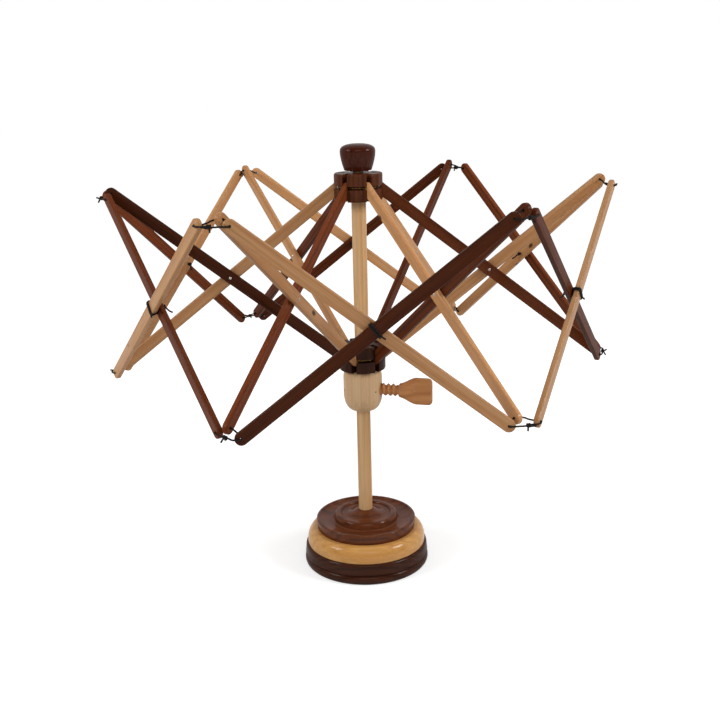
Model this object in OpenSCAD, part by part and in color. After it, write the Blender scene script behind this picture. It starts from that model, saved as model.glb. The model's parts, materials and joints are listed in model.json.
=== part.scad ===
// Umbrella swift: a folding reel of crossed slats that turns on a post above a turned base.
// It is shown opened about half way. Sizes are in millimetres and angles in degrees, +Z is up,
// and the post stands on the Z axis with the foot's underside at zero height.
// Rib 1 points along +X, and the ribs are counted anticlockwise as seen from above.

/* [Slats] */
// Length of every slat between its end holes
slat_len = 366; // [330:1:400]
// Width of a slat
slat_w = 15; // [12:0.5:17]
// Thickness of a slat
slat_t = 6.4; // [5:0.1:7.4]
// Rounding along the long edges of a slat
slat_edge = 1.6; // [0.5:0.1:2.4]
// Angle of the slats from the horizontal, as opened
open_angle = 38; // [25:0.5:60]
// Gap between the two slats of a rib
rib_gap = 0.4; // [0.3:0.1:1]
// Gap between the side of a rib and the ends of the slats tied to it
tip_gap = 0.8; // [0.4:0.1:2]
// Diameter of the holes that the cords go through
cord_hole_d = 3.6; // [3:0.1:5]

/* [Hubs] */
// Diameter of both hubs
hub_d = 62.5; // [57:0.5:70]
// Height of both hubs
hub_h = 35; // [28:0.5:42]
// Rounding of the hubs' rims
hub_round = 2.5; // [1:0.5:4]
// Diameter of the wire ring that the slats hinge on, at the middle of its wire
ring_d = 51; // [48:0.5:53]
// Diameter of the hinge wire
wire_d = 2; // [1.4:0.1:2.4]
// Height of the groove that the wire lies in
groove_h = 4.4; // [3:0.2:6]
// Gap on each side of a slat in its slot
slot_gap = 0.35; // [0.3:0.05:0.8]
// Gap between the end of a slat and the bottom of its slot
end_gap = 1; // [0.5:0.1:2]

/* [Cords] */
// Diameter of the tie cord
cord_d = 1.6; // [1:0.1:2]
// Diameter of the knots
knot_d = 4.6; // [4.2:0.1:6]
// Length of the cord's loose end past a knot
tail_len = 9; // [4:0.5:14]
// Height by which the outside slats hang below the ends of the ribs
tie_drop = 6; // [2:0.5:9]

/* [Rivets] */
// Diameter of a rivet's shank
rivet_d = 2.6; // [2:0.1:4]
// Diameter of a rivet's head
rivet_head_d = 3.8; // [3.2:0.1:6]
// Height of a rivet's head
rivet_head_h = 0.7; // [0.4:0.1:1.5]

/* [Post and knob] */
// Diameter of the post
post_d = 19; // [16:0.5:22]
// Height of the shoulder that carries the upper hub
post_shoulder_z = 504.5; // [480:0.5:560]
// Diameter of the spindle above the shoulder
spindle_d = 14; // [11:0.5:15.5]
// Gap between the upper hub and the knob
knob_gap = 3; // [2:0.5:8]
// Largest diameter of the knob
knob_d = 45.5; // [40:0.5:54]
// Diameter of the knob's underside
knob_foot_d = 36; // [30:0.5:38]
// Height of the knob
knob_h = 33.5; // [28:0.5:40]
// Depth of the spindle's socket in the knob
knob_socket = 20; // [12:0.5:22]

/* [Collar and thumb screw] */
// Diameter of the collar
collar_d = 52.5; // [46:0.5:60]
// Height of the collar
collar_h = 57; // [48:0.5:66]
// Diameter of the collar's underside
collar_foot_d = 28; // [26:0.5:34]
// Height of the round-over at the collar's foot
collar_taper_h = 23; // [16:0.5:25]
// Depth of the thumb screw's axis below the top of the collar
screw_drop = 28; // [22:0.5:32]
// Direction in which the thumb screw points, from +X
screw_azimuth = -18; // [-180:1:180]
// Diameter of the thumb screw's threaded shank
screw_d = 17; // [12:0.5:18]
// Length of the shank between the collar and the paddle
screw_reach = 23.5; // [18:0.5:32]
// Length of the paddle
paddle_len = 46; // [38:0.5:56]
// Width of the paddle at its broad end
paddle_w = 37; // [28:0.5:42]
// Width of the paddle at its neck
paddle_neck_w = 19; // [18.5:0.5:24]
// Thickness of the paddle at its broad end
paddle_t = 9; // [7:0.5:12]
// Rounding of the paddle's corners
paddle_corner = 6; // [3:0.5:9]

/* [Base] */
// Largest diameter of the foot
foot_d = 173; // [165:1:200]
// Height of the foot
foot_h = 29.5; // [26:0.5:36]
// Thickness of the foot under the post's socket
socket_z = 6; // [4:0.5:12]
// Height of the bead round the foot's lower edge
bead_h = 12; // [9:0.5:14]
// Largest diameter of the middle tier
middle_d = 164; // [155:1:164.5]
// Height of the middle tier
middle_h = 21; // [18:0.5:30]
// Height of the middle tier's widest line above the foot
middle_band = 4; // [2:0.5:8]
// Diameter of the top tier
top_d = 138; // [126:1:142]
// Height of the top tier's rim
top_h = 14; // [10:0.5:18]
// Diameter of the raised ring on the top tier, at its crest
crest_d = 80; // [72:1:96]
// Height of the crest above the rim
crest_rise = 6; // [4:0.5:9]
// Height of the cone round the post above the crest
cone_rise = 5; // [1:0.5:8]

/* [Clearances] */
// Radial gap of a part that turns or slides on the post
run_gap = 0.1; // [0.05:0.01:0.3]
// Gap between faces that slide on each other
face_gap = 0.2; // [0.1:0.05:0.5]
// Radial gap of a glued or pressed joint
glue_gap = 0.04; // [0.02:0.01:0.08]
// Radial gap round the hinge wire, the cords and the thumb screw
loose_gap = 0.35; // [0.2:0.05:0.5]

/* [Hidden] */
$fn = 96;
ribs = 6;
rib_step = 360 / ribs;
panel_turn = rib_step / 2;

// Colours of the two woods, the cord and the metals
DARK = [0.30, 0.14, 0.09];
PALE = [0.76, 0.55, 0.34];
BLOND = [0.82, 0.68, 0.50];
CORD = [0.08, 0.08, 0.08];
BRASS = [0.72, 0.60, 0.34];

// Ribs: the slats hinge on the wire, side by side, and cross at a rivet half way along
side = (slat_t + rib_gap) / 2;
ring_r = ring_d / 2;
ring_near = sqrt(pow(ring_r, 2) - pow(side - slat_t / 2, 2));
ring_far = sqrt(pow(ring_r, 2) - pow(side + slat_t / 2, 2));
pivot_r = (ring_near + ring_far) / 2;
wire_hole_d = wire_d + (ring_near - ring_far) + 2 * loose_gap;
upper_z = post_shoulder_z + face_gap + hub_h / 2;
run = slat_len * cos(open_angle);
rise = slat_len * sin(open_angle);
lower_z = upper_z - rise;
tip_r = pivot_r + run;
rivet_r = pivot_r + run / 2;
rivet_z = upper_z - rise / 2;

// Outside slats: each end is tied beside a rib's end, at a place where the folding stays exact
end_reach = cos(panel_turn) * slat_w / 2 + sin(panel_turn) * slat_t / 2;
cross_gap = cord_d + 2 * loose_gap;
inner_side = end_reach + slat_t / 2 + tip_gap;
inner_p = inner_side + side;
outer_p = inner_p + (slat_t + cross_gap) / 2;
outer_side = outer_p + side;
function tie_r(p) = 2 * cos(panel_turn) * p - pivot_r;
function plane_r(p) = run * cos(panel_turn) + 2 * p;

// Ties: the reach of a cord's free bends, the places across a knot from its loose end,
// and the cord's swelling at each point up to the far side of the knot
tie_bend = 2.5 * cord_d;
knot_steps = [for (d = [-0.28, 0, 0.28]) d * knot_d];
knot_swell = [1, 1, 0.75 * knot_d / cord_d, knot_d / cord_d, 0.75 * knot_d / cord_d, 1];

// Collar and thumb screw
collar_top = lower_z - hub_h / 2 - face_gap;
screw_z = collar_top - screw_drop;
screw_tip_r = post_d / 2 + loose_gap;
paddle_x = collar_d / 2 + screw_reach;

// Base, and the length by which cuts run past a face
over = 1;
top_z = foot_h + middle_h;
rim_z = top_z + top_h;
spindle_top = upper_z + hub_h / 2 + knob_gap + knob_socket;

// Points on an arc of the given radii round a centre, from one angle to another
function arc(c, rx, ry, from, to, steps = 12) =
    [for (i = [0 : steps])
        let (a = from + (to - from) * i / steps)
        [c[0] + rx * cos(a), c[1] + ry * sin(a)]];

function unit(v) = v / norm(v);

// Points on a cubic curve, without its first point
function curve(a, b, c, d, steps) =
    [for (i = [1 : steps]) let (t = i / steps, u = 1 - t)
        u * u * u * a + 3 * u * u * t * b + 3 * u * t * t * c + t * t * t * d];

// A cord swept along its route, with a radius for each point and a direction that no stretch runs along
module cord(route, radii, across) {
    sides = 8;
    last = len(route) - 1;
    rings = [for (i = [0 : last])
        let (
            along = unit(route[min(i + 1, last)] - route[max(i - 1, 0)]),
            x = unit(cross(along, across)),
            y = cross(x, along)
        )
        for (j = [0 : sides - 1])
            let (a = 360 * j / sides)
            route[i] + radii[i] * (cos(a) * x + sin(a) * y)];
    walls = [for (i = [0 : last - 1], j = [0 : sides - 1])
        let (a = i * sides + j, b = i * sides + (j + 1) % sides) [a, b, b + sides, a + sides]];
    near_cap = [for (j = [sides - 1 : -1 : 0]) j];
    far_cap = [for (j = [0 : sides - 1]) last * sides + j];
    polyhedron(rings, concat([near_cap], walls, [far_cap]), convexity = 6);
}

// A slat from its first hole at the origin to its second along +X, wide across Y.
// Its ends are half round, and their edges are rounded like the long ones.
module slat(hole_a, hole_b, middle_hole) {
    difference() {
        union() {
            rotate([90, 0, 90])
                linear_extrude(slat_len)
                    slat_section();
            slat_end(90);
            translate([slat_len, 0, 0])
                slat_end(-90);
        }
        cylinder(d = hole_a, h = 2 * slat_t, center = true);
        translate([slat_len, 0, 0])
            cylinder(d = hole_b, h = 2 * slat_t, center = true);
        if (middle_hole > 0)
            translate([slat_len / 2, 0, 0])
                cylinder(d = middle_hole, h = 2 * slat_t, center = true);
    }
}

// Cross-section of a slat, with rounded edges
module slat_section() {
    x = slat_w / 2 - slat_edge;
    y = slat_t / 2 - slat_edge;
    square([slat_w, 2 * y], center = true);
    square([2 * x, slat_t], center = true);
    for (i = [-1, 1], j = [-1, 1])
        translate([i * x, j * y])
            circle(slat_edge);
}

// Half round end of a slat, turned to point away from the slat
module slat_end(turn)
    rotate([0, 0, turn])
        rotate_extrude(angle = 180)
            rounded_half(slat_w / 2, slat_t, slat_edge);

module in_rib(k) rotate([0, 0, (k - 1) * rib_step]) children();

module in_panel(k) rotate([0, 0, (k - 1) * rib_step + panel_turn]) children();

function is_even(k) = k % 2 == 0;

module base_foot() {
    r = foot_d / 2;
    bead = 4;
    neck = 2;
    lip = 1.6;
    top_round = 5;
    color(DARK) difference() {
        rotate_extrude()
            polygon(concat(
                [[0, 0]],
                arc([r - bead, bead_h / 2], bead, bead_h / 2, -90, 70, 16),
                [[r - neck, bead_h + lip / 2]],
                arc([r - neck, bead_h + 2 * lip], 0.8 * lip, lip, -60, 40, 8),
                arc([r - lip - top_round, foot_h - top_round], top_round, top_round, 0, 84, 14),
                [[0, foot_h]]));
        post_hole(socket_z, foot_h);
    }
}

module base_middle() {
    r = middle_d / 2;
    ledge = 2;
    shoulder_r = top_d / 2 + ledge;
    crown = middle_h - middle_band;
    from = -asin(middle_band / crown);
    color(PALE) difference() {
        rotate_extrude()
            polygon(concat(
                [[0, foot_h]],
                arc([shoulder_r, foot_h + middle_band], r - shoulder_r, crown, from, 90, 22),
                [[0, top_z]]));
        post_hole(foot_h - over, top_z);
    }
}

module base_top() {
    r = top_d / 2;
    rim_round = 2;
    rim_w = 4;
    crest_r = crest_d / 2;
    crest_z = rim_z + crest_rise;
    crest_round = 3;
    wall_w = 4.5;
    cove_w = 2;
    cove_depth = 4.5;
    cove_r = crest_r + wall_w + cove_w;
    cove_z = rim_z - cove_depth;
    dish_w = 11;
    dish_r = crest_r - dish_w;
    dish_z = crest_z - crest_round;
    cone_z = crest_z + cone_rise;
    cone_edge = 1;
    cone_r = post_d / 2 + cone_edge;
    steps = 14;
    cone = [for (i = [0 : steps])
        [dish_r + (cone_r - dish_r) * i / steps, cone_z - (cone_z - dish_z) * cos(90 * i / steps)]];
    color(DARK) difference() {
        rotate_extrude()
            polygon(concat(
                [[0, top_z], [r - rim_round / 2, top_z]],
                arc([r - rim_round, rim_z - rim_round], rim_round, rim_round, 0, 90, 10),
                arc([cove_r, rim_z], r - rim_w - cove_r, rim_z - cove_z, 0, -90, 14),
                arc([crest_r, cove_z], wall_w, crest_z - cove_z, 8, 90, 18),
                arc([crest_r - crest_round, crest_z - crest_round], crest_round, crest_round, 90, 170, 8),
                cone,
                [[0, cone_z]]));
        post_hole(top_z - over, cone_z);
    }
}

// Socket for the post in a tier of the base
module post_hole(from, to)
    translate([0, 0, from])
        cylinder(d = post_d + 2 * glue_gap, h = to - from + over);

module post() {
    color(PALE) union() {
        translate([0, 0, socket_z])
            cylinder(d = post_d, h = post_shoulder_z - socket_z);
        translate([0, 0, socket_z])
            cylinder(d = spindle_d, h = spindle_top - socket_z);
    }
}

module knob() {
    r = knob_d / 2;
    z = upper_z + hub_h / 2 + knob_gap;
    foot_r = knob_foot_d / 2;
    foot_round = 1.5;
    widest_z = 0.7 * knob_h;
    flank_bow = 1.6;
    crown_bow = 2 / 2.6;
    steps = 16;
    flank = [for (i = [0 : steps - 1])
        let (t = i / steps)
        [r - (r - foot_r) * pow(1 - t, flank_bow), foot_round + (widest_z - foot_round) * t]];
    crown = [for (i = [0 : steps])
        let (a = 90 * i / steps)
        [r * pow(cos(a), crown_bow), widest_z + (knob_h - widest_z) * pow(sin(a), crown_bow)]];
    color(DARK) difference() {
        translate([0, 0, z])
            rotate_extrude()
                polygon(concat(
                    [[0, 0]],
                    arc([foot_r - foot_round, foot_round], foot_round, foot_round, -90, -12, 6),
                    flank,
                    crown));
        translate([0, 0, z - over])
            cylinder(d = spindle_d + 2 * glue_gap, h = knob_socket + over + face_gap);
    }
}

// A square with two rounded corners away from the axis, for turning
module rounded_half(width, height, corner) {
    translate([0, -height / 2])
        square([width - corner, height]);
    translate([0, corner - height / 2])
        square([width, height - 2 * corner]);
    for (i = [-1, 1])
        translate([width - corner, i * (height / 2 - corner)])
            circle(corner);
}

// A hub with a slot for each slat and a groove for the hinge wire. The slots lie to one side of the ribs.
module hub(bore, slot_side) {
    r = hub_d / 2;
    groove_r = ring_r - wire_d / 2 - glue_gap;
    slot_r = pivot_r - slat_w / 2 - end_gap;
    slot_w = slat_t + 2 * slot_gap;
    difference() {
        rotate_extrude()
            rounded_half(r, hub_h, hub_round);
        cylinder(d = bore, h = 2 * hub_h, center = true);
        rotate_extrude()
            translate([groove_r, -groove_h / 2])
                square([r, groove_h]);
        for (k = [1 : ribs])
            in_rib(k)
                translate([slot_r, slot_side * side - slot_w / 2, -hub_h])
                    cube([r, slot_w, 2 * hub_h]);
    }
}

module hinge_wire()
    rotate_extrude()
        translate([ring_r, 0])
            circle(d = wire_d, $fn = 24);

module upper_hub()
    color(DARK)
        translate([0, 0, upper_z])
            hub(spindle_d + 2 * run_gap, -1);

module upper_wire()
    color(BRASS)
        translate([0, 0, upper_z])
            hinge_wire();

module lower_hub()
    color(DARK)
        translate([0, 0, lower_z])
            hub(post_d + 2 * run_gap, 1);

module lower_wire()
    color(BRASS)
        translate([0, 0, lower_z])
            hinge_wire();

module collar() {
    r = collar_d / 2;
    foot_r = collar_foot_d / 2;
    shoulder_w = 5;
    shoulder_h = 12;
    color(BLOND) difference() {
        translate([0, 0, collar_top - collar_h])
            rotate_extrude()
                polygon(concat(
                    [[0, 0]],
                    arc([foot_r, collar_taper_h], r - foot_r, collar_taper_h, -90, 0, 16),
                    arc([r - shoulder_w, collar_h - shoulder_h], shoulder_w, shoulder_h, 5, 85, 14),
                    [[0, collar_h]]));
        translate([0, 0, collar_top - collar_h - over])
            cylinder(d = post_d + 2 * run_gap, h = collar_h + 2 * over);
        translate([0, 0, screw_z])
            rotate([0, 90, screw_azimuth])
                cylinder(d = screw_d + 2 * loose_gap, h = collar_d);
    }
}

module thumb_screw() {
    half_neck = paddle_neck_w / 2;
    half_w = paddle_w / 2;
    flare = 0.55 * paddle_len;
    steps = 10;
    end_t = paddle_t - 1.6;
    flank = [for (i = [0 : steps])
        [flare * i / steps, half_neck + (half_w - half_neck) * (1 - cos(180 * i / steps)) / 2]];
    far = paddle_len - paddle_corner;
    upper = concat(flank, arc([far, half_w - paddle_corner], paddle_corner, paddle_corner, 90, 0, 6));
    lower = [for (i = [len(upper) - 1 : -1 : 0]) [upper[i][0], -upper[i][1]]];
    color(PALE)
        translate([0, 0, screw_z])
            rotate([0, 0, screw_azimuth])
                union() {
                    translate([screw_tip_r, 0, 0])
                        rotate([0, 90, 0])
                            cylinder(d = screw_d, h = paddle_x + over - screw_tip_r);
                    translate([paddle_x, 0, 0])
                        intersection() {
                            rotate([90, 0, 0])
                                linear_extrude(paddle_neck_w, center = true)
                                    polygon(concat(upper, lower));
                            linear_extrude(2 * paddle_w, center = true)
                                polygon([[0, -half_neck], [flare, -paddle_t / 2], [paddle_len, -end_t / 2],
                                         [paddle_len, end_t / 2], [flare, paddle_t / 2], [0, half_neck]]);
                        }
                }
}

module top_slat(k)
    color(is_even(k) ? PALE : DARK)
        in_rib(k)
            translate([pivot_r, -side, upper_z])
                rotate([0, open_angle, 0])
                    rotate([90, 0, 0])
                        slat(wire_hole_d, cord_hole_d, rivet_d + 2 * glue_gap);

module low_slat(k)
    color(is_even(k) ? DARK : PALE)
        in_rib(k)
            translate([pivot_r, side, lower_z])
                rotate([0, -open_angle, 0])
                    rotate([90, 0, 0])
                        slat(wire_hole_d, cord_hole_d, rivet_d + 2 * run_gap);

module rivet(k) {
    half = side + slat_t / 2 + face_gap / 2;
    color(BRASS)
        in_rib(k)
            translate([rivet_r, 0, rivet_z])
                rotate([90, 0, 0])
                    rotate_extrude($fn = 48)
                        polygon([[0, -half - rivet_head_h], [rivet_head_d / 3, -half - rivet_head_h],
                                 [rivet_head_d / 2, -half - rivet_head_h / 3], [rivet_head_d / 2, -half],
                                 [rivet_d / 2, -half], [rivet_d / 2, half],
                                 [rivet_head_d / 2, half], [rivet_head_d / 2, half + rivet_head_h / 3],
                                 [rivet_head_d / 3, half + rivet_head_h], [0, half + rivet_head_h]]);
}

// The outer slat of a panel climbs anticlockwise, from the low end of one rib to the high end of the next
module outer_slat(k)
    color(is_even(k) ? PALE : DARK)
        in_panel(k)
            translate([plane_r(outer_p), -run / 2, lower_z - tie_drop])
                rotate([open_angle, 0, 0])
                    rotate([90, 0, 90])
                        slat(cord_hole_d, cord_hole_d, 0);

// The inner slat of a panel crosses it the other way, and the crossing's cord goes through its middle
module inner_slat(k)
    color(is_even(k) ? DARK : PALE)
        in_panel(k)
            translate([plane_r(inner_p), -run / 2, upper_z - tie_drop])
                rotate([-open_angle, 0, 0])
                    rotate([90, 0, 90])
                        slat(cord_hole_d, cord_hole_d, cord_hole_d);

// The cord that ties two outside slats to the end of a rib: a loop through all three holes.
// Its route is given from the rib's hole: X outward, Y towards the outer slat.
// The knot lies in front of the rib.
module tip_tie() {
    out_a = [cos(panel_turn), sin(panel_turn), 0];
    out_b = [cos(panel_turn), -sin(panel_turn), 0];
    to_b = [sin(panel_turn), -cos(panel_turn), 0];
    to_a = [sin(panel_turn), cos(panel_turn), 0];
    hole_a = [tie_r(outer_p), outer_side, -tie_drop];
    hole_b = [tie_r(inner_p), -inner_side, -tie_drop];
    face = slat_t / 2 + loose_gap;
    lift = face + cord_d / 2;
    past_end = slat_w / 2 + cord_d / 2 + loose_gap;
    corner_a = hole_a + lift * out_a + past_end * to_b;
    corner_b = hole_b + lift * out_b + past_end * to_a;
    knot = (corner_a + corner_b) / 2;
    span = unit(corner_a - corner_b);
    over_knot = [0, 0, knot_d / 2 + cord_d / 2 + loose_gap];
    rib_a = [0, face, 0];
    rib_b = [0, -face, 0];
    inside_a = hole_a - face * out_a;
    inside_b = hole_b - face * out_b;
    first_tail = [knot - knot_d / 2 * span + tail_len * [0.5, 0, -0.8], knot - knot_d / 2 * span];
    last_tail = [knot + over_knot, knot + over_knot + tail_len * (0.8 * span + [0.5, 0, 0.3])];
    swell = [for (d = knot_steps) knot + d * span];
    front_b = face_route(hole_b, out_b, to_a, lift, corner_b, span);
    route = concat(
        first_tail, swell,
        [knot + knot_d / 2 * span],
        face_route(hole_a, out_a, to_b, lift, corner_a, -span),
        [inside_a],
        curve(inside_a, inside_a - tie_bend * out_a, rib_a + [0, tie_bend, 0], rib_a, 5),
        [rib_b],
        curve(rib_b, rib_b - [0, tie_bend, 0], inside_b - tie_bend * out_b, inside_b, 5),
        [for (i = [len(front_b) - 1 : -1 : 0]) front_b[i]],
        last_tail);
    radii = concat(knot_swell, [for (i = [len(knot_swell) : len(route) - 1]) 1]);
    cord(route, radii * cord_d / 2, [0, 0, 1]);
}

// Points from a cord's bend at the end of a slat, along the slat's face and into its hole
function face_route(hole, out, along, lift, corner, span) =
    let (bend = cord_hole_d / 2, ease = tie_bend / 2, start = hole + (lift - bend) * out + bend * along)
    concat([corner + ease * span],
           curve(corner + ease * span, corner, corner, corner - ease * along, 3),
           [for (a = [0, 45, 90]) start + bend * (cos(a) * out - sin(a) * along)]);

module low_tie(k)
    color(CORD)
        in_rib(k)
            translate([tip_r, -side, lower_z])
                tip_tie();

module high_tie(k)
    color(CORD)
        in_rib(k)
            translate([tip_r, side, upper_z])
                mirror([0, 1, 0])
                    tip_tie();

// The lashing where the outside slats cross: two turns round the outer slat, a stem through the inner one.
// Its route is given from the outer slat's middle: X along the slat, Y across it, Z outward.
module lashing() {
    edge = slat_w / 2 + cross_gap / 2;
    face = slat_t / 2 + cross_gap / 2;
    bend = cord_d;
    pitch = cord_d + loose_gap;
    far_face = slat_t / 2 + cross_gap + slat_t + loose_gap;
    knot = far_face + knot_d / 2;
    tail = [[0, -tail_len / 2, -knot - tail_len], [0, 0, -knot - knot_d / 2]];
    through = [[0, 0, -far_face], [0, 0, -face - bend], [0, bend / 4, -face - bend / 4], [0, bend, -face]];
    stem = concat(tail, [for (d = knot_steps) [0, 0, d - knot]], through);
    turns = [for (corner = [0 : 6]) for (i = [0 : 2])
        let (
            a = 90 * corner - 90 + 45 * i,
            y = (corner % 4 < 2 ? 1 : -1) * (edge - bend) + bend * cos(a),
            z = (corner % 4 == 1 || corner % 4 == 2 ? 1 : -1) * (face - bend) + bend * sin(a)
        )
        [corner < 3 ? 0 : pitch, y, z]];
    kept = [for (i = [0 : len(turns) - 3]) turns[i]];
    loose_end = [[pitch, -edge, face], [2 * pitch, -edge - tail_len, face + tail_len / 4]];
    route = concat(stem, kept, loose_end);
    radii = concat(knot_swell, [for (i = [len(knot_swell) : len(route) - 1]) 1]);
    cord(route, radii * cord_d / 2, [1, 0, 0]);
}

module cross_tie(k)
    color(CORD)
        in_panel(k)
            translate([plane_r(outer_p), 0, (upper_z + lower_z) / 2 - tie_drop])
                rotate([open_angle, 0, 0])
                    rotate([90, 0, 90])
                        lashing();

base_foot();
base_middle();
base_top();
post();
knob();
upper_hub();
upper_wire();
lower_hub();
lower_wire();
collar();
thumb_screw();
for (k = [1 : ribs]) top_slat(k);
for (k = [1 : ribs]) low_slat(k);
for (k = [1 : ribs]) outer_slat(k);
for (k = [1 : ribs]) inner_slat(k);
for (k = [1 : ribs]) rivet(k);
for (k = [1 : ribs]) low_tie(k);
for (k = [1 : ribs]) high_tie(k);
for (k = [1 : ribs]) cross_tie(k);
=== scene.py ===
import json
import math
import random

import bpy
import numpy as np
from mathutils import Matrix, Vector


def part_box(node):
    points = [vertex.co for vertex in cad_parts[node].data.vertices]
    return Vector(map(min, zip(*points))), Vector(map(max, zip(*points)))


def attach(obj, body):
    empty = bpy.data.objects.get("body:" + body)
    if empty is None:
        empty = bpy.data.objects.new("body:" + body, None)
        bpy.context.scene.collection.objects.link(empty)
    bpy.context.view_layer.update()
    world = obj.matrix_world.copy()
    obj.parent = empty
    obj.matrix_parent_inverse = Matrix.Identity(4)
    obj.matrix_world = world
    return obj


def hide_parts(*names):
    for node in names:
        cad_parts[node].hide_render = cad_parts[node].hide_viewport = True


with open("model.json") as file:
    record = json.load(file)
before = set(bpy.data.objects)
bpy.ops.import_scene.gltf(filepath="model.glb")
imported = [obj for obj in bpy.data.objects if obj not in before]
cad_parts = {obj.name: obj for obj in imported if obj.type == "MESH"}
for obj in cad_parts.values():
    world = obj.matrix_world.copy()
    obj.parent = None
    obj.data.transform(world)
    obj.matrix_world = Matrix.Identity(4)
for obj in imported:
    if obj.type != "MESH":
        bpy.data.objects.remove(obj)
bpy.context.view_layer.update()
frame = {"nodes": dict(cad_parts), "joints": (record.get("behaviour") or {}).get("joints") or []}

# The number of ribs, and sizes of the wooden pieces in metres
RIBS = 6
SLAT_WIDTH = 0.015
SLAT_THICKNESS = 0.0064
HOLE_RADIUS = 0.0018
CROSSING_GAP = 0.0023
COLLAR_RADIUS = 0.02625

# Sizes of the cords, their knots and loose ends, and how closely their points lie
CORD_RADIUS = 0.0011
CORD_GAP = 0.00035
KNOT_WIDTH = 0.0046
TAIL_LENGTH = 0.009
CORNER_LEAD = 0.0016
CORD_STEP = 0.00045

# Sizes of the thumb screw, whose tip and paddle are measured from the post's middle
SCREW_RADIUS = 0.0085
SCREW_TIP = 0.00985
PADDLE_START = 0.04975
PADDLE_LENGTH = 0.046

# Where the joints of the swift lie at rest, and the directions that they turn about
JOINT_PLACE = {joint["name"]: Vector(joint["pos_m"]) for joint in frame["joints"]}
JOINT_AXIS = {joint["name"]: Vector(joint["axis"]) for joint in frame["joints"]}
UP = Vector((0, 0, 1))

# Kinds of sockets in a node group
NUMBER = "NodeSocketFloat"
COLOUR = "NodeSocketColor"
PLACE = "NodeSocketVector"


# Colours and shader nodes

def tint(red, green, blue):
    """A colour as it looks, from 0 to 255, in the linear values that shaders use."""
    shares = [value / 255 for value in (red, green, blue)]
    linear = [s / 12.92 if s <= 0.04045 else ((s + 0.055) / 1.055) ** 2.4 for s in shares]
    return (*linear, 1.0)


def set_inputs(tree, node, inputs):
    """Sets or links the inputs of a node."""
    for name, value in inputs.items():
        if isinstance(value, bpy.types.NodeSocket):
            tree.links.new(value, node.inputs[name])
        else:
            node.inputs[name].default_value = value


def add_node(tree, kind, inputs=None, **settings):
    """A node with its settings, and with its inputs set or linked."""
    made = tree.nodes.new(kind)
    for name, value in settings.items():
        setattr(made, name, value)
    set_inputs(tree, made, inputs or {})
    return made


def work_out(tree, operation, *values):
    """The result of a calculation on one, two or three values."""
    return add_node(tree, "ShaderNodeMath", dict(enumerate(values)), operation=operation).outputs[0]


def between(tree, share, low, high):
    """A value that goes from low to high as a share goes from 0 to 1."""
    return work_out(tree, "MULTIPLY_ADD", share, high - low, low)


def darkened(tree, value, marks, depth):
    """A value that is lowered by a depth where there are marks."""
    kept = work_out(tree, "SUBTRACT", 1.0, work_out(tree, "MULTIPLY", marks, depth))
    return work_out(tree, "MULTIPLY", value, kept)


def stretched(tree, place, along, across):
    """A place scaled differently along and across, so that a pattern on it is drawn out one way."""
    scales = {0: place, 1: (along, across, across)}
    return add_node(tree, "ShaderNodeVectorMath", scales, operation="MULTIPLY").outputs["Vector"]


def noise(tree, place, detail=2.0, roughness=0.5, scale=1.0):
    """A cloudy pattern."""
    inputs = {"Vector": place, "Scale": scale, "Detail": detail, "Roughness": roughness}
    return add_node(tree, "ShaderNodeTexNoise", inputs).outputs["Fac"]


def ramp(tree, value, low, high):
    """A value that climbs smoothly from 0 at low to 1 at high."""
    inputs = {"Value": value, "From Min": low, "From Max": high}
    return add_node(tree, "ShaderNodeMapRange", inputs, interpolation_type="SMOOTHSTEP").outputs["Result"]


def mixed(tree, share, first, second):
    """A colour between two others."""
    node = add_node(tree, "ShaderNodeMix", {0: share, 6: first, 7: second}, data_type="RGBA")
    return node.outputs[2]


def relief(tree, height, strength, depth):
    """The normal of a surface with a fine relief."""
    inputs = {"Strength": strength, "Distance": depth, "Height": height}
    return add_node(tree, "ShaderNodeBump", inputs).outputs["Normal"]


# Effects that several materials share

def new_group(name, inputs, outputs):
    """An empty node group with named sockets, what it is given, and the node for its results."""
    tree = bpy.data.node_groups.new(name, "ShaderNodeTree")
    for label, kind in inputs.items():
        tree.interface.new_socket(label, in_out="INPUT", socket_type=kind)
    for label, kind in outputs.items():
        tree.interface.new_socket(label, in_out="OUTPUT", socket_type=kind)
    return tree, tree.nodes.new("NodeGroupInput").outputs, tree.nodes.new("NodeGroupOutput")


def growth_rings(tree, grain, ring_width):
    """Rings round the pith, from 0 to 1, that wander a little along the grain."""
    rings_of_wander = 5.0
    late_wood_power = 1.8
    axes = add_node(tree, "ShaderNodeSeparateXYZ", {0: grain}).outputs
    wander = work_out(tree, "SUBTRACT", noise(tree, stretched(tree, grain, along=2.4, across=32)), 0.5)
    beside_pith = work_out(tree, "MULTIPLY", axes["Y"], axes["Y"])
    above_pith = work_out(tree, "MULTIPLY", axes["Z"], axes["Z"])
    from_pith = work_out(tree, "SQRT", work_out(tree, "ADD", beside_pith, above_pith))
    turns = work_out(tree, "DIVIDE", from_pith, ring_width)
    phase = work_out(tree, "MULTIPLY_ADD", wander, rings_of_wander, turns)
    return work_out(tree, "POWER", work_out(tree, "PINGPONG", phase, 1.0), late_wood_power)


def wood_streaks(tree, grain):
    """Long streaks of darker heart wood."""
    cloud = noise(tree, stretched(tree, grain, along=2.6, across=105), detail=3.0, roughness=0.6)
    return ramp(tree, cloud, low=0.38, high=0.68)


def wood_pores(tree, grain):
    """Short fine pores along the grain."""
    cloud = noise(tree, stretched(tree, grain, along=45, across=1300), detail=1.0)
    return ramp(tree, cloud, low=0.60, high=0.74)


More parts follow.
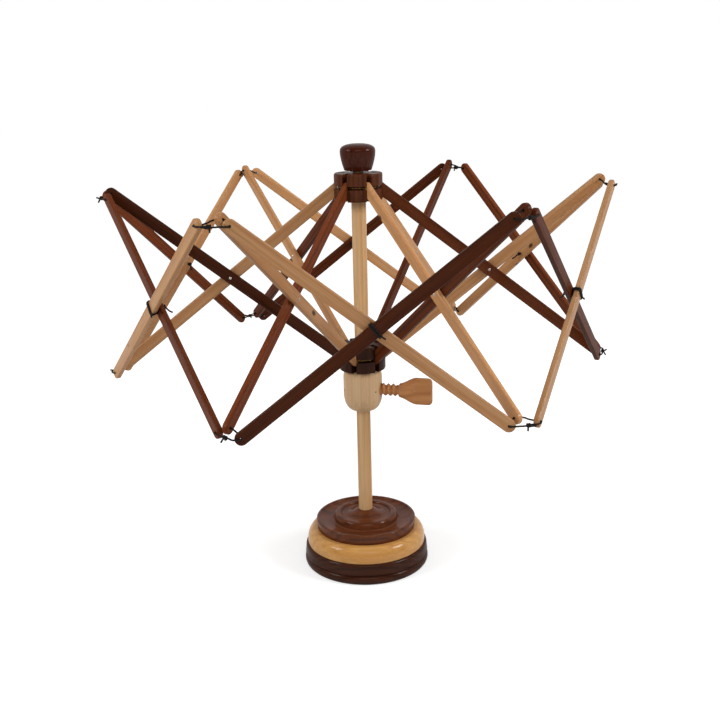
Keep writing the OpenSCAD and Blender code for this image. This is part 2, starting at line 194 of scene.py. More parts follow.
def knot_marks(tree, grain):
    """Small dark ovals, here and there, where a twig grew."""
    share_without = 0.55
    inputs = {"Vector": stretched(tree, grain, along=22, across=36), "Scale": 1.0}
    cells = add_node(tree, "ShaderNodeTexVoronoi", inputs).outputs
    lot = add_node(tree, "ShaderNodeSeparateColor", {0: cells["Color"]}).outputs[0]
    chosen = work_out(tree, "GREATER_THAN", lot, share_without)
    return work_out(tree, "MULTIPLY", chosen, ramp(tree, cells["Distance"], low=0.15, high=0.07))


def make_wood_figure():
    """Growth rings, streaks, fibres, pores and small knots of a piece of wood."""
    fibre_dulling = 0.24
    pore_dulling = 0.15
    ring_rise = 0.25
    fibre_rise = 0.5
    pore_rise = -0.8
    tree, given, result = new_group(
        "wood_figure",
        {"Grain": PLACE, "Tone And Shade": NUMBER, "Early Wood": COLOUR, "Late Wood": COLOUR, "Heart Wood": COLOUR,
         "Ring Width": NUMBER, "Ring Depth": NUMBER, "Streak Depth": NUMBER, "Pore Depth": NUMBER,
         "Knot Depth": NUMBER, "Dullness": NUMBER},
        {"Color": COLOUR, "Roughness": NUMBER, "Height": NUMBER})
    grain = given["Grain"]
    rings = growth_rings(tree, grain, given["Ring Width"])
    streaks = wood_streaks(tree, grain)
    fibre = noise(tree, stretched(tree, grain, along=9, across=460), roughness=0.55)
    pores = wood_pores(tree, grain)
    knots = knot_marks(tree, grain)

    late_share = work_out(tree, "MULTIPLY", rings, given["Ring Depth"])
    ringed = mixed(tree, late_share, given["Early Wood"], given["Late Wood"])
    heart_share = work_out(tree, "MULTIPLY", streaks, given["Streak Depth"])
    streaked = mixed(tree, heart_share, ringed, given["Heart Wood"])
    fibred = work_out(tree, "MULTIPLY", given["Tone And Shade"], between(tree, fibre, 0.82, 1.18))
    pored = darkened(tree, fibred, pores, given["Pore Depth"])
    knotted = darkened(tree, pored, knots, given["Knot Depth"])
    shade = add_node(tree, "ShaderNodeHueSaturation", {"Value": knotted, "Color": streaked})

    smoothest = work_out(tree, "SUBTRACT", given["Dullness"], fibre_dulling / 2)
    fibre_rough = work_out(tree, "MULTIPLY_ADD", fibre, fibre_dulling, smoothest)
    rough = work_out(tree, "MULTIPLY_ADD", pores, pore_dulling, fibre_rough)
    fibre_height = work_out(tree, "MULTIPLY", fibre, fibre_rise)
    ring_height = work_out(tree, "MULTIPLY_ADD", rings, ring_rise, fibre_height)
    height = work_out(tree, "MULTIPLY_ADD", pores, pore_rise, ring_height)
    set_inputs(tree, result, {"Color": shade.outputs["Color"], "Roughness": rough, "Height": height})
    return tree


def make_lacquer_film():
    """How thick the lacquer lies, thinner where hands have rubbed it."""
    tree, given, result = new_group("lacquer_film", {"Grain": PLACE, "Weight": NUMBER}, {"Coat": NUMBER})
    left = ramp(tree, noise(tree, given["Grain"], scale=22.0), low=0.25, high=0.75)
    coat = work_out(tree, "MULTIPLY", between(tree, left, 0.7, 1.2), given["Weight"])
    set_inputs(tree, result, {"Coat": coat})
    return tree


def make_metal_tarnish():
    """Bright metal with dull patches and fine scratches."""
    tree, given, result = new_group(
        "metal_tarnish",
        {"Place": PLACE, "Bright": COLOUR, "Dull": COLOUR},
        {"Color": COLOUR, "Roughness": NUMBER, "Height": NUMBER})
    cloud = noise(tree, given["Place"], detail=3.0, roughness=0.6, scale=240.0)
    patches = ramp(tree, cloud, low=0.4, high=0.7)
    scratches = noise(tree, stretched(tree, given["Place"], along=900, across=9000))
    colour = mixed(tree, patches, given["Bright"], given["Dull"])
    rough = between(tree, patches, 0.22, 0.44)
    set_inputs(tree, result, {"Color": colour, "Roughness": rough, "Height": scratches})
    return tree


WOOD_FIGURE = make_wood_figure()
LACQUER_FILM = make_lacquer_film()
METAL_TARNISH = make_metal_tarnish()


# Materials

def new_material(name):
    """A material, its nodes and its shader."""
    material = bpy.data.materials.new(name)
    material.use_nodes = True
    tree = material.node_tree
    return material, tree, tree.nodes["Principled BSDF"]


def grained_wood(name, early, late, heart, ring_width, ring_depth, streak_depth, pore_depth, knot_depth,
                 dullness, coat, coat_blur):
    """A lacquered wood whose figure follows the grain and the tone stored on each piece; that tone holds
    painted shade and painted light on some pieces.
    """
    material, tree, surface = new_material(name)
    grain = add_node(tree, "ShaderNodeAttribute", attribute_name="grain").outputs["Vector"]
    tone_and_shade = add_node(tree, "ShaderNodeAttribute", attribute_name="tone_and_shade").outputs["Fac"]
    wood = {"Grain": grain, "Tone And Shade": tone_and_shade, "Early Wood": early, "Late Wood": late, "Heart Wood": heart,
            "Ring Width": ring_width, "Ring Depth": ring_depth, "Streak Depth": streak_depth,
            "Pore Depth": pore_depth, "Knot Depth": knot_depth, "Dullness": dullness}
    lacquer = {"Grain": grain, "Weight": coat}
    figure = add_node(tree, "ShaderNodeGroup", wood, node_tree=WOOD_FIGURE).outputs
    film = add_node(tree, "ShaderNodeGroup", lacquer, node_tree=LACQUER_FILM).outputs
    set_inputs(tree, surface, {
        "Base Color": figure["Color"],
        "Roughness": figure["Roughness"],
        "Normal": relief(tree, figure["Height"], strength=0.25, depth=0.0002),
        "Specular IOR Level": 0.02,
        "Coat Weight": film["Coat"],
        "Coat Roughness": coat_blur})
    return material


def dark_slat_wood():
    return grained_wood(
        "dark_slat_wood", early=tint(93, 46, 22), late=tint(59, 24, 9), heart=tint(107, 50, 23),
        ring_width=0.0032, ring_depth=0.8, streak_depth=0.5, pore_depth=0.35, knot_depth=0.0,
        dullness=0.45, coat=0.08, coat_blur=0.14)


def pale_slat_wood():
    return grained_wood(
        "pale_slat_wood", early=tint(190, 143, 98), late=tint(165, 114, 71), heart=tint(176, 118, 70),
        ring_width=0.0036, ring_depth=0.6, streak_depth=0.6, pore_depth=0.2, knot_depth=0.86,
        dullness=0.45, coat=0.28, coat_blur=0.15)


def dark_turned_wood():
    return grained_wood(
        "dark_turned_wood", early=tint(96, 51, 27), late=tint(58, 28, 14), heart=tint(104, 51, 25),
        ring_width=0.0042, ring_depth=0.75, streak_depth=0.55, pore_depth=0.35, knot_depth=0.0,
        dullness=0.36, coat=0.25, coat_blur=0.1)


def dark_hub_wood():
    return grained_wood(
        "dark_hub_wood", early=tint(84, 45, 26), late=tint(52, 26, 15), heart=tint(96, 49, 26),
        ring_width=0.003, ring_depth=0.7, streak_depth=0.5, pore_depth=0.35, knot_depth=0.0,
        dullness=0.36, coat=0.1, coat_blur=0.1)


def dark_knob_wood():
    return grained_wood(
        "dark_knob_wood", early=tint(64, 25, 10), late=tint(46, 16, 6), heart=tint(72, 27, 11),
        ring_width=0.0016, ring_depth=0.5, streak_depth=0.35, pore_depth=0.25, knot_depth=0.0,
        dullness=0.34, coat=0.18, coat_blur=0.14)


def dark_foot_wood():
    return grained_wood(
        "dark_foot_wood", early=tint(63, 34, 21), late=tint(37, 18, 11), heart=tint(67, 33, 20),
        ring_width=0.0042, ring_depth=0.75, streak_depth=0.5, pore_depth=0.35, knot_depth=0.0,
        dullness=0.36, coat=0.14, coat_blur=0.1)


def pale_tier_wood():
    return grained_wood(
        "pale_tier_wood", early=tint(200, 149, 85), late=tint(184, 132, 70), heart=tint(182, 122, 60),
        ring_width=0.006, ring_depth=0.6, streak_depth=0.55, pore_depth=0.12, knot_depth=0.0,
        dullness=0.36, coat=0.5, coat_blur=0.14)


def post_wood():
    return grained_wood(
        "post_wood", early=tint(207, 169, 124), late=tint(189, 146, 99), heart=tint(186, 136, 86),
        ring_width=0.003, ring_depth=0.6, streak_depth=0.65, pore_depth=0.15, knot_depth=0.0,
        dullness=0.42, coat=0.25, coat_blur=0.2)


def collar_wood():
    return grained_wood(
        "collar_wood", early=tint(206, 172, 133), late=tint(190, 153, 112), heart=tint(188, 148, 106),
        ring_width=0.002, ring_depth=0.55, streak_depth=0.5, pore_depth=0.15, knot_depth=0.0,
        dullness=0.46, coat=0.3, coat_blur=0.16)


def thumb_screw_wood():
    return grained_wood(
        "thumb_screw_wood", early=tint(192, 134, 85), late=tint(156, 100, 58), heart=tint(171, 108, 61),
        ring_width=0.0034, ring_depth=0.8, streak_depth=0.5, pore_depth=0.25, knot_depth=0.0,
        dullness=0.46, coat=0.2, coat_blur=0.2)


def worked_metal(name, bright, dull):
    """A drawn or riveted metal, a little tarnished."""
    material, tree, surface = new_material(name)
    place = add_node(tree, "ShaderNodeTexCoord").outputs["Object"]
    metal = {"Place": place, "Bright": bright, "Dull": dull}
    tarnish = add_node(tree, "ShaderNodeGroup", metal, node_tree=METAL_TARNISH).outputs
    set_inputs(tree, surface, {
        "Base Color": tarnish["Color"],
        "Roughness": tarnish["Roughness"],
        "Normal": relief(tree, tarnish["Height"], strength=0.1, depth=0.0001),
        "Metallic": 1.0})
    return material


def hinge_brass():
    return worked_metal("hinge_brass", bright=tint(158, 124, 66), dull=tint(88, 66, 38))


def rivet_metal():
    return worked_metal("rivet_metal", bright=tint(176, 168, 158), dull=tint(116, 106, 94))


def collar_pin_metal():
    return worked_metal("collar_pin_metal", bright=tint(120, 96, 78), dull=tint(74, 56, 44))


def waxed_cord():
    """Black twisted cord with a dull wax and fine hairs."""
    hair_strength = 0.8
    material, tree, surface = new_material("waxed_cord")
    lay = add_node(tree, "ShaderNodeAttribute", attribute_name="lay").outputs["Vector"]
    hairs = noise(tree, stretched(tree, lay, along=9000, across=700), detail=3.0, roughness=0.6)
    wax = ramp(tree, noise(tree, lay, scale=260.0), low=0.4, high=0.7)
    hair_share = work_out(tree, "MULTIPLY", hairs, hair_strength)
    set_inputs(tree, surface, {
        "Base Color": mixed(tree, hair_share, tint(15, 12, 11), tint(42, 35, 32)),
        "Roughness": between(tree, wax, 0.8, 0.55),
        "Normal": relief(tree, hairs, strength=0.5, depth=0.0002),
        "Specular IOR Level": 0.12})
    return material


DARK_SLAT = dark_slat_wood()
PALE_SLAT = pale_slat_wood()
DARK_TURNED = dark_turned_wood()
DARK_HUB = dark_hub_wood()
DARK_KNOB = dark_knob_wood()
DARK_FOOT = dark_foot_wood()
PALE_TIER = pale_tier_wood()
POST_WOOD = post_wood()
COLLAR_WOOD = collar_wood()
SCREW_WOOD = thumb_screw_wood()
HINGE_BRASS = hinge_brass()
RIVET_METAL = rivet_metal()
PIN_METAL = collar_pin_metal()
WAXED_CORD = waxed_cord()


# Grain and smooth shading of the pieces

def points_of(mesh):
    """The points of a mesh, one row each."""
    flat = np.empty(len(mesh.vertices) * 3, np.float32)
    mesh.vertices.foreach_get("co", flat)
    return flat.reshape(-1, 3).astype(float)


def store_grain(mesh, along, across, pith, tone_and_shade):
    """Stores where each point lies in the tree that the wood came from, and a tone: how light the wood
    is, with painted shade and painted light on some pieces.
    """
    points = points_of(mesh)
    axes = np.array([along, across, np.cross(along, across)])
    places = (points - points.mean(axis=0)) @ axes.T + np.array(pith)
    grain = mesh.attributes.new("grain", "FLOAT_VECTOR", "POINT")
    grain.data.foreach_set("vector", places.astype(np.float32).ravel())
    shade = mesh.attributes.new("tone_and_shade", "FLOAT", "POINT")
    shade.data.foreach_set("value", np.full(len(points), tone_and_shade, np.float32))


def make_fair_curves():
    """Nodes of a modifier that shades the facets of a turned or rounded face as one smooth face."""
    weld_distance = 0.000002
    sharp_from = math.radians(28)
    tree = bpy.data.node_groups.new("fair_curves", "GeometryNodeTree")
    tree.interface.new_socket("Geometry", in_out="INPUT", socket_type="NodeSocketGeometry")
    tree.interface.new_socket("Geometry", in_out="OUTPUT", socket_type="NodeSocketGeometry")
    given = tree.nodes.new("NodeGroupInput").outputs[0]
    welded = add_node(tree, "GeometryNodeMergeByDistance", {"Geometry": given, "Distance": weld_distance})
    angle = add_node(tree, "GeometryNodeInputMeshEdgeAngle").outputs["Unsigned Angle"]
    edge = add_node(tree, "FunctionNodeCompare", {0: angle, 1: sharp_from}, operation="GREATER_THAN")
    shaded = add_node(tree, "GeometryNodeSetMeshNormal",
                      {"Mesh": welded.outputs["Geometry"], "Remove Custom": True,
                       "Edge Sharpness": edge.outputs["Result"], "Face Sharpness": False})
    tree.links.new(shaded.outputs["Mesh"], tree.nodes.new("NodeGroupOutput").inputs[0])
    return tree


FAIR_CURVES = make_fair_curves()


def dress(node, material):
    """Gives a CAD node its material and smooth shading."""
    piece = frame["nodes"][node]
    piece.data.materials.clear()
    piece.data.materials.append(material)
    piece.modifiers.new("fair_curves", "NODES").node_group = FAIR_CURVES
    flat_faces = piece.modifiers.new("flat_faces", "WEIGHTED_NORMAL")
    flat_faces.keep_sharp = True
    return piece


def dress_wood(node, material, along, across, pith, tone_and_shade=1.0):
    """Gives a CAD node its wood, with the grain along it."""
    store_grain(dress(node, material).data, along, across, pith, tone_and_shade)


def slat_axes(node):
    """Unit vectors along and across a slat, from its own shape."""
    points = points_of(frame["nodes"][node].data)
    spread = np.cov((points - points.mean(axis=0)).T)
    vectors = np.linalg.eigh(spread)[1].T
    along, across = vectors[2], vectors[1]
    return along * np.sign(along[2]), across * np.sign(across[2])


def dress_slats():
    """Dark and pale slats in turn, each cut from its own place in a board."""
    board_length = 40
    draw = random.Random(1096877)
    for kind in ("top_slat", "low_slat", "outer_slat", "inner_slat"):
        for k in range(1, RIBS + 1):
            node = f"{kind}_{k}"
            dark = (k % 2 == 1) == (kind in ("top_slat", "outer_slat"))
            along, across = slat_axes(node)
            pith_turn = draw.uniform(0, math.tau)
            pith_away = draw.uniform(0.03, 0.09)
            start = draw.uniform(0, board_length)
            pith = (start, pith_away * math.cos(pith_turn), pith_away * math.sin(pith_turn))
            # Each slat's tone is partly the wood's own random tone and partly painted light and shade:
            # the seed is chosen so that the draws also match the light that falls on each slat.
            tone_and_shade = draw.uniform(0.45, 1.55) if dark else draw.uniform(0.76, 1.22)
            dress_wood(node, DARK_SLAT if dark else PALE_SLAT, along, across, pith, tone_and_shade)


def dress_turned_pieces():
    """Base, post, knob, hubs and collar. The base's grain lies flat, and that of the rest is upright."""
    sideways, away, upright = (1, 0, 0), (0, 1, 0), (0, 0, 1)
    dress_wood("base_foot", DARK_FOOT, sideways, away, pith=(3, 0.02, -0.07))
    dress_wood("base_middle", PALE_TIER, sideways, away, pith=(9, -0.03, -0.08))
    dress_wood("base_top", DARK_TURNED, sideways, away, pith=(14, 0.01, -0.05))
    dress_wood("post", POST_WOOD, upright, sideways, pith=(21, 0.03, 0.02))
    dress_wood("knob", DARK_KNOB, upright, sideways, pith=(27, 0.02, 0.03))
    dress_wood("upper_hub", DARK_HUB, upright, sideways, pith=(31, 0.04, 0.02))
    # The lower hub's darker tone is painted shade, for the shade that the slats cast on it.
    dress_wood("lower_hub", DARK_HUB, upright, sideways, pith=(36, 0.03, -0.03), tone_and_shade=0.38)
    dress_wood("collar", COLLAR_WOOD, upright, sideways, pith=(42, 0.05, 0.03))


def dress_metal():
    """Hinge wires and rivets."""
    dress("upper_wire", HINGE_BRASS)
    dress("lower_wire", HINGE_BRASS)
    for k in range(1, RIBS + 1):
        dress(f"rivet_{k}", RIVET_METAL)


# New pieces

def put_in_scene(name, data):
    """A new object in the scene."""
    made = bpy.data.objects.new(name, data)
    bpy.context.scene.collection.objects.link(made)
    return made


def new_piece(name, points, faces, material):
    """A new piece of the swift, smoothly shaded."""
    mesh = bpy.data.meshes.new(name)
    mesh.from_pydata([tuple(p) for p in points], [], faces)
    mesh.materials.append(material)
    mesh.shade_smooth()
    return put_in_scene(name, mesh)


def capped_faces(rings, sides):
    """Faces of a skin over rings of points, with its ends closed."""
    faces = [tuple(range(sides - 1, -1, -1))]
    for i in range(rings - 1):
        for j in range(sides):
            a = i * sides + j
            b = i * sides + (j + 1) % sides
            faces.append((a, b, b + sides, a + sides))
    faces.append(tuple(range((rings - 1) * sides, rings * sides)))
    return faces


# Cords

def through(points):
    """Closely spaced points on a smooth line through the given points."""
    line = []
    padded = [2 * points[0] - points[1], *points, 2 * points[-1] - points[-2]]
    for before, start, end, after in zip(padded, padded[1:], padded[2:], padded[3:]):
        reach = (end - start).length
        count = max(2, math.ceil(reach / CORD_STEP))
        leave = (end - before).normalized() * reach
        arrive = (after - start).normalized() * reach
        for i in range(count):
            t = i / count
            line.append(start * (1 + 2 * t) * (1 - t) ** 2 + leave * t * (1 - t) ** 2
                        + end * t * t * (3 - 2 * t) - arrive * t * t * (1 - t))
    line.append(points[-1])
    return line


def twisted_cord(name, route):
    """A three-strand cord along a route, with the run of its strands stored for its material."""
    sides = 12
    strands = 3
    strand_depth = 0.1
    lay_length = 0.0046
    end_size = 0.72
    line = through(route)
    last = len(line) - 1
    points, lays = [], []
    run = 0.0
    side = line[1].cross(line[0] - line[1]).normalized()
    for i, place in enumerate(line):
        before = line[max(i - 1, 0)]
        ahead = (line[min(i + 1, last)] - before).normalized()
        side = (side - ahead * side.dot(ahead)).normalized()
        over = ahead.cross(side)
        run += (place - before).length
        twist = math.tau * run / lay_length
        size = end_size if i in (0, last) else 1.0
        for j in range(sides):
            turn = math.tau * j / sides
            strand = 1 - strand_depth + strand_depth * math.cos(strands * (turn - twist))
            radius = CORD_RADIUS * size * strand
            points.append(place + radius * (math.cos(turn) * side + math.sin(turn) * over))
            lays.append((run, math.cos(turn - twist) * CORD_RADIUS, math.sin(turn - twist) * CORD_RADIUS))
    piece = new_piece(name, points, capped_faces(len(line), sides), WAXED_CORD)
    lay = piece.data.attributes.new("lay", "FLOAT_VECTOR", "POINT")
    lay.data.foreach_set("vector", np.array(lays, np.float32).ravel())
    return piece


def wrap(centre, axis, out, up, start, turns, travel, from_turn):
    """Points of a cord that winds round others in a knot."""
    wide = 0.00135
    high = 0.00165
    points_per_turn = 8
    count = math.ceil(turns * points_per_turn)
    points = []
    for i in range(count + 1):
        share = i / count
        turn = math.tau * (from_turn + turns * share)
        points.append(centre + axis * (start + travel * share)
                      + out * wide * math.cos(turn) + up * high * math.sin(turn))
    return points


def loose_end(start, direction):
    """A cord's short loose end past its knot, nearly straight."""
    return [start + direction * TAIL_LENGTH * share for share in (0.3, 0.62, 0.95)]


def tip_knot(knot, span, front):
    """A tip cord's two ends in its knot: from one loose end out of the knot, and back to the other."""
    start = -0.0022
    turns = 1.25
    travel = 0.0017
    near = 0.3 * KNOT_WIDTH
    far = 0.7 * KNOT_WIDTH
    core = UP * 0.0005
    first_way = front * 0.5 - UP * 0.8 - span * 0.25
    second_way = front * 0.6 + UP * 0.25 + span * 0.75
    first_wrap = wrap(knot, span, front, UP, start, turns, travel, from_turn=0.0)
    second_wrap = wrap(knot, -span, front, -UP, start, turns, travel, from_turn=0.0)
    first_tail = loose_end(first_wrap[-1], first_way)
    second_tail = loose_end(second_wrap[-1], second_way)
    leaving = [*reversed(first_tail), *reversed(first_wrap),
               knot - span * near + core, knot + span * far + core]
    coming = [knot - span * far - core, knot + span * near - core, *second_wrap, *second_tail]
    return leaving, coming


def face_run(hole, outward, along, lift, corner):
    """A cord's way from the end of a slat along its outer face and into its hole."""
    centre = hole + outward * (lift - HOLE_RADIUS) + along * HOLE_RADIUS
    bend = [centre + HOLE_RADIUS * (math.cos(a) * outward - math.sin(a) * along)
            for a in (0, math.pi / 4, math.pi / 2)]
    return [corner - along * CORNER_LEAD, *bend]


def slack_run(inside, rib, outward, side):
    """A cord's bowed way from the inside of a slat's hole to the rib's hole."""
    bow = 1.32 * CORD_RADIUS
    return [inside, inside.lerp(rib, 0.3) - bow * outward, inside.lerp(rib, 0.7) + bow * side, rib]


def tip_route(hole_a, hole_b, rib, side, out, outward_a, outward_b):
    """The loop that ties two outside slats to a rib's end, with a knot in front of the rib."""
    face = SLAT_THICKNESS / 2 + CORD_GAP
    lift = face + CORD_RADIUS
    past_end = SLAT_WIDTH / 2 + CORD_RADIUS + CORD_GAP
    along_a = (out - outward_a * out.dot(outward_a)).normalized()
    along_b = (out - outward_b * out.dot(outward_b)).normalized()
    corner_a = hole_a + lift * outward_a + past_end * along_a
    corner_b = hole_b + lift * outward_b + past_end * along_b
    span = (corner_a - corner_b).normalized()
    front = span.cross(UP)
    front *= math.copysign(1, front.dot(out))
    leaving, coming = tip_knot((corner_a + corner_b) / 2, span, front)
    in_a = face_run(hole_a, outward_a, along_a, lift, corner_a)
    in_b = face_run(hole_b, outward_b, along_b, lift, corner_b)
    slack_a = slack_run(hole_a - face * outward_a, rib + face * side, outward_a, side)
    slack_b = slack_run(hole_b - face * outward_b, rib - face * side, outward_b, -side)
    return [*leaving, corner_a - span * CORNER_LEAD, *in_a, *slack_a,
            *reversed(slack_b), *reversed(in_b), corner_b + span * CORNER_LEAD, *coming]


def turned(vector, k):
    """A vector of rib 1, turned to rib k."""
    return Matrix.Rotation(math.tau * (k - 1) / RIBS, 3, "Z") @ vector


def tie_tip(k, level, flip):
    """The cord at a rib's low or high end. The high one is the low one's mirror image."""
    panel_turn = math.pi / RIBS
    rib_low = JOINT_PLACE["low_tie_turn_1"]
    hole_a = JOINT_PLACE["outer_turn_1"] - rib_low
    hole_b = JOINT_PLACE["inner_turn_6"] - rib_low
    rib = JOINT_PLACE[f"{level}_tie_turn_1"]
    mirror = Vector((1, flip, 1))
    outward = Vector((math.cos(panel_turn), math.sin(panel_turn) * flip, 0))
    other = Vector((outward.x, -outward.y, 0))
    route = tip_route(rib + hole_a * mirror, rib + hole_b * mirror, rib, Vector((0, flip, 0)),
                      Vector((1, 0, 0)), outward, other)
    cord = twisted_cord(f"{level}_tip_cord_{k}", [turned(p, k) for p in route])
    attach(cord, f"{level}_tie_{k}")
    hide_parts(f"{level}_tie_{k}")


def crossing_route(centre, along, across, outward):
    """Two turns round the outer slat, a stem through the inner one, a knot and two loose ends."""
    edge = SLAT_WIDTH / 2 + CROSSING_GAP / 2
    face = SLAT_THICKNESS / 2 + CROSSING_GAP / 2
    far_face = 1.5 * SLAT_THICKNESS + CROSSING_GAP + CORD_GAP
    stem_past_face = 0.0034
    stem_end = far_face + stem_past_face
    bend = 2 * CORD_RADIUS
    pitch = 2 * CORD_RADIUS + CORD_GAP / 2
    straight = 0.0007
    corners = 7

    def at(x, y, z):
        return centre + along * x + across * y + outward * z

    knot = at(0, 0, -far_face - CORD_RADIUS)
    wound = wrap(knot, -outward, along, across, start=0.0006, turns=1.5, travel=0.0026, from_turn=0.25)
    tail = [wound[-1] - across * beside - outward * inward
            for beside, inward in ((0.002, 0.001), (0.005, 0.003), (0.0075, 0.0062))]
    stem = [at(0, 0, -stem_end), at(0, 0, -far_face), at(0, 0, -face - bend),
            at(0, bend / 4, -face - bend / 4), at(0, bend, -face)]
    turns = []
    for corner in range(corners):
        y_side = 1 if corner % 4 < 2 else -1
        z_side = 1 if corner % 4 in (1, 2) else -1
        for degrees, ease in ((0, -straight), (0, 0), (45, 0), (90, 0), (90, straight)):
            a = math.radians(90 * corner - 90 + degrees)
            turns.append(at(0 if corner < 3 else pitch,
                            y_side * (edge - bend) + bend * math.cos(a) - ease * math.sin(a),
                            z_side * (face - bend) + bend * math.sin(a) + ease * math.cos(a)))
    # The loose end leaves the last corner before its bend
    loose = [at(pitch, -edge, face),
             at(1.4 * pitch, -edge - 0.0024, face + 0.0011),
             at(1.6 * pitch, -edge - TAIL_LENGTH / 2, face + TAIL_LENGTH / 8)]
    return [*reversed(tail), *reversed(wound), *stem, *turns[:-3], *loose]


def tie_crossing(k):
    """The cord where the outer and the inner slat of a panel cross."""
    low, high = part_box(f"outer_slat_{k}")
    turn = math.tau * (k - 0.5) / RIBS
    outward = Vector((math.cos(turn), math.sin(turn), 0))
    along = Vector(slat_axes(f"outer_slat_{k}")[0])
    across = outward.cross(along)
    cord = twisted_cord(f"crossing_cord_{k}", crossing_route((low + high) / 2, along, across, outward))
    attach(cord, f"outer_slat_{k}")
    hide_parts(f"cross_tie_{k}")


# Thumb screw and collar pins

def screw_shank(sides):
    """Rings of the right-hand thread, from the tip to the paddle's neck."""
    pitch = 0.0068
    root = 0.0058
    crest_power = 0.8
    lead_in = 0.003
    run_out = 0.004
    last_height = 0.15
    count = 130
    rings = []
    for i in range(count + 1):
        x = SCREW_TIP + (PADDLE_START - SCREW_TIP) * i / count
        begun = min(1.0, (x - SCREW_TIP) / lead_in)
        left = min(1.0, (PADDLE_START - x) / run_out)
        height = (SCREW_RADIUS - root) * begun * (last_height + (1 - last_height) * left)
        ring = []
        for j in range(sides):
            turn = math.tau * j / sides
            wave = 0.5 + 0.5 * math.cos(math.tau * x / pitch - turn)
            radius = root + height * wave ** crest_power
            ring.append((x, radius * math.cos(turn), radius * math.sin(turn)))
        rings.append(ring)
    return rings


def drawn_in(x, radius):
    """How far a round of that radius at the paddle's end draws in, from 0 to 1."""
    past = max(0.0, x - (PADDLE_LENGTH - radius)) / radius
    return 1 - math.sqrt(max(0.0, 1 - past * past))


def screw_paddle(sides):
    """Rings of the paddle, from a round neck to a broad thin end with rounded corners."""
    neck = 0.0094
    half_width = 0.0185
    half_thickness = 0.0045
    end_thickness = 0.0037
    flare = 0.55 * PADDLE_LENGTH
    corner = 0.0058
    nose = 0.0022
    nose_depth = 0.7
    shoulder = 0.006
    shoulder_start = 0.72
    squareness = 1.6
    count = 44
    rings = []
    for i in range(count + 1):
        x = PADDLE_LENGTH * math.sin(0.5 * math.pi * i / count)
        ease = min(1.0, x / flare)
        width = neck + (half_width - neck) * 0.5 * (1 - math.cos(math.pi * ease))
        width -= corner * drawn_in(x, corner)
        thickness = neck + (half_thickness - neck) * ease
        if x > flare:
            past_flare = (x - flare) / (PADDLE_LENGTH - flare)
            thickness = half_thickness + (end_thickness - half_thickness) * past_flare
        thickness *= 1 - nose_depth * drawn_in(x, nose)
        size = min(1.0, shoulder_start + x / shoulder)
        power = 2 / (2 + squareness * ease)
        ring = []
        for j in range(sides):
            turn = math.tau * j / sides
            c, s = math.cos(turn), math.sin(turn)
            ring.append((PADDLE_START + x, size * thickness * math.copysign(abs(c) ** power, c),
                         size * width * math.copysign(abs(s) ** power, s)))
        rings.append(ring)
    return rings


def make_thumb_screw():
    """The wooden screw that clamps the collar, with a coarse thread and a flared paddle."""
    sides = 64
    centre, along = JOINT_PLACE["screw_turn"], JOINT_AXIS["screw_turn"]
    beside = UP.cross(along)
    rings = screw_shank(sides) + screw_paddle(sides)
    points = [centre + along * x + beside * y + UP * z for ring in rings for x, y, z in ring]
    piece = new_piece("threaded_thumb_screw", points, capped_faces(len(rings), sides), SCREW_WOOD)
    store_grain(piece.data, tuple(along), tuple(UP), pith=(50, 0.012, 0.05), tone_and_shade=1.0)
    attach(piece, "thumb_screw")
    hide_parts("thumb_screw")


def make_collar_pin(name, angle):
    """A small domed pin in the collar's side, at the thumb screw's height."""
    sides = 20
    radius = 0.0011
    dome = ((-0.0006, 1.0), (0.00005, 1.0), (0.0002, 0.8), (0.00028, 0.4))
    outward = Vector((math.sin(angle), -math.cos(angle), 0))
    beside = UP.cross(outward)
    centre = outward * COLLAR_RADIUS + UP * JOINT_PLACE["screw_turn"].z
    points = [centre + outward * rise + radius * width * (math.cos(a) * beside + math.sin(a) * UP)
              for rise, width in dome
              for a in (math.tau * j / sides for j in range(sides))]
    piece = new_piece(name, points, capped_faces(len(dome), sides), PIN_METAL)
    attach(piece, "collar")


# Room, light and camera

def make_world():
    """White to the camera and through glass, and a plain level of light on matt faces.
    Shiny faces mirror a white backdrop behind the swift and a dimmer room in front of it."""
    ambient = 0.37
    front_room = 0.08
    world = bpy.data.worlds.new("white_room")
    world.use_nodes = True
    tree = world.node_tree
    path = add_node(tree, "ShaderNodeLightPath").outputs
    direction = add_node(tree, "ShaderNodeTexCoord").outputs["Generated"]
    backward = add_node(tree, "ShaderNodeSeparateXYZ", {0: direction}).outputs["Y"]
    to_backdrop = ramp(tree, backward, low=-0.35, high=0.25)
    mirrored = between(tree, to_backdrop, front_room - ambient, 1.0 - ambient)
    shone = work_out(tree, "MULTIPLY_ADD", path["Is Glossy Ray"], mirrored, ambient)
    seen = work_out(tree, "MAXIMUM", path["Is Camera Ray"], path["Is Transmission Ray"])
    strength = work_out(tree, "MAXIMUM", seen, shone)
    set_inputs(tree, tree.nodes["Background"], {"Color": (1, 1, 1, 1), "Strength": strength})
    bpy.context.scene.world = world


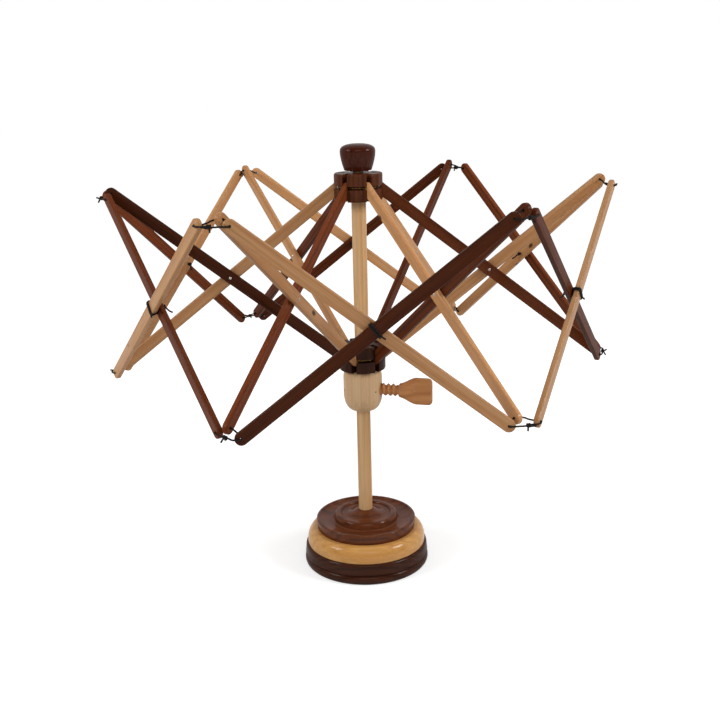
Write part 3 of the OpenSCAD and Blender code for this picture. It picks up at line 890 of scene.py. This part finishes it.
def floor_material():
    """Pale and matt, with a glow that makes it white to the camera, in mirrors and through glass."""
    near_glow = 0.52
    far_glow = 0.78
    material, tree, surface = new_material("white_floor")
    place = add_node(tree, "ShaderNodeTexCoord").outputs["Object"]
    away = add_node(tree, "ShaderNodeVectorMath", {0: place}, operation="LENGTH").outputs["Value"]
    glow = between(tree, ramp(tree, away, low=0.2, high=0.8), near_glow, far_glow)
    path = add_node(tree, "ShaderNodeLightPath").outputs
    seen = work_out(tree, "MAXIMUM", path["Is Camera Ray"], path["Is Transmission Ray"])
    shown = work_out(tree, "MAXIMUM", seen, path["Is Glossy Ray"])
    cloud = noise(tree, place, scale=3.0)
    set_inputs(tree, surface, {
        "Base Color": mixed(tree, cloud, tint(208, 208, 208), tint(213, 213, 213)),
        "Roughness": 0.9,
        "Specular IOR Level": 0.0,
        "Emission Color": (1, 1, 1, 1),
        "Emission Strength": work_out(tree, "MULTIPLY", shown, glow)})
    return material


def make_floor():
    """A plain pale floor that keeps the swift's shadow."""
    reach = 12.0
    corners = [(-reach, -reach, 0), (reach, -reach, 0), (reach, reach, 0), (-reach, reach, 0)]
    mesh = bpy.data.meshes.new("floor")
    mesh.from_pydata(corners, [], [(0, 1, 2, 3)])
    mesh.materials.append(floor_material())
    put_in_scene("floor", mesh)


def soft_box(name, place, width, height, power):
    """A soft lamp that faces the swift's middle."""
    swift_middle = Vector((0, 0, 0.3))
    light = bpy.data.lights.new(name, "AREA")
    light.shape = "RECTANGLE"
    light.size = width
    light.size_y = height
    light.energy = power
    lamp = put_in_scene(name, light)
    lamp.location = place
    lamp.rotation_mode = "QUATERNION"
    lamp.rotation_quaternion = (swift_middle - Vector(place)).to_track_quat("-Z", "Y")


def light_swift():
    """Two soft boxes, one on each side and above, and a weaker, wider one in front."""
    soft_box("left_box", (-1.54, -0.54, 1.35), width=0.65, height=0.65, power=15)
    soft_box("right_box", (1.53, -0.58, 1.35), width=0.65, height=0.65, power=19)
    soft_box("front_box", (0.0, -2.2, 1.6), width=1.6, height=1.0, power=13)


def make_camera():
    """The camera of the photograph, a little above the swift and turned a little about its own axis."""
    image_pixels = 720
    focal_pixels = 1013.87
    aside_pixels = 2.3
    sensor_width = 36.0
    distance = 1.36315
    height = 0.29057
    turn = math.radians(-2.68)
    climb = math.radians(15.88)
    roll = -0.023
    sideways = math.atan(aside_pixels / focal_pixels)
    back = Vector((math.sin(turn) * math.cos(climb), -math.cos(turn) * math.cos(climb), math.sin(climb)))
    right = Vector((math.cos(turn), math.sin(turn), 0))
    up = back.cross(right)
    rolled_right = right * math.cos(roll) + up * math.sin(roll)
    rolled_up = up * math.cos(roll) - right * math.sin(roll)
    aimed_back = back * math.cos(sideways) + rolled_right * math.sin(sideways)
    aimed_right = rolled_up.cross(aimed_back)
    data = bpy.data.cameras.new("camera")
    data.sensor_width = sensor_width
    data.lens = focal_pixels / image_pixels * sensor_width
    data.clip_start = 0.05
    camera = put_in_scene("camera", data)
    axes = Matrix((aimed_right, rolled_up, aimed_back)).transposed().to_4x4()
    camera.matrix_world = Matrix.Translation(Vector((0, 0, height)) + back * distance) @ axes
    bpy.context.scene.camera = camera


make_camera()
make_world()
make_floor()
light_swift()
dress_slats()
dress_turned_pieces()
dress_metal()
for number in range(1, RIBS + 1):
    tie_tip(number, "low", 1)
    tie_tip(number, "high", -1)
    tie_crossing(number)
make_thumb_screw()
make_collar_pin("collar_pin_left", math.radians(-75))
make_collar_pin("collar_pin_right", math.radians(38))
bpy.context.scene.view_settings.view_transform = "Standard"
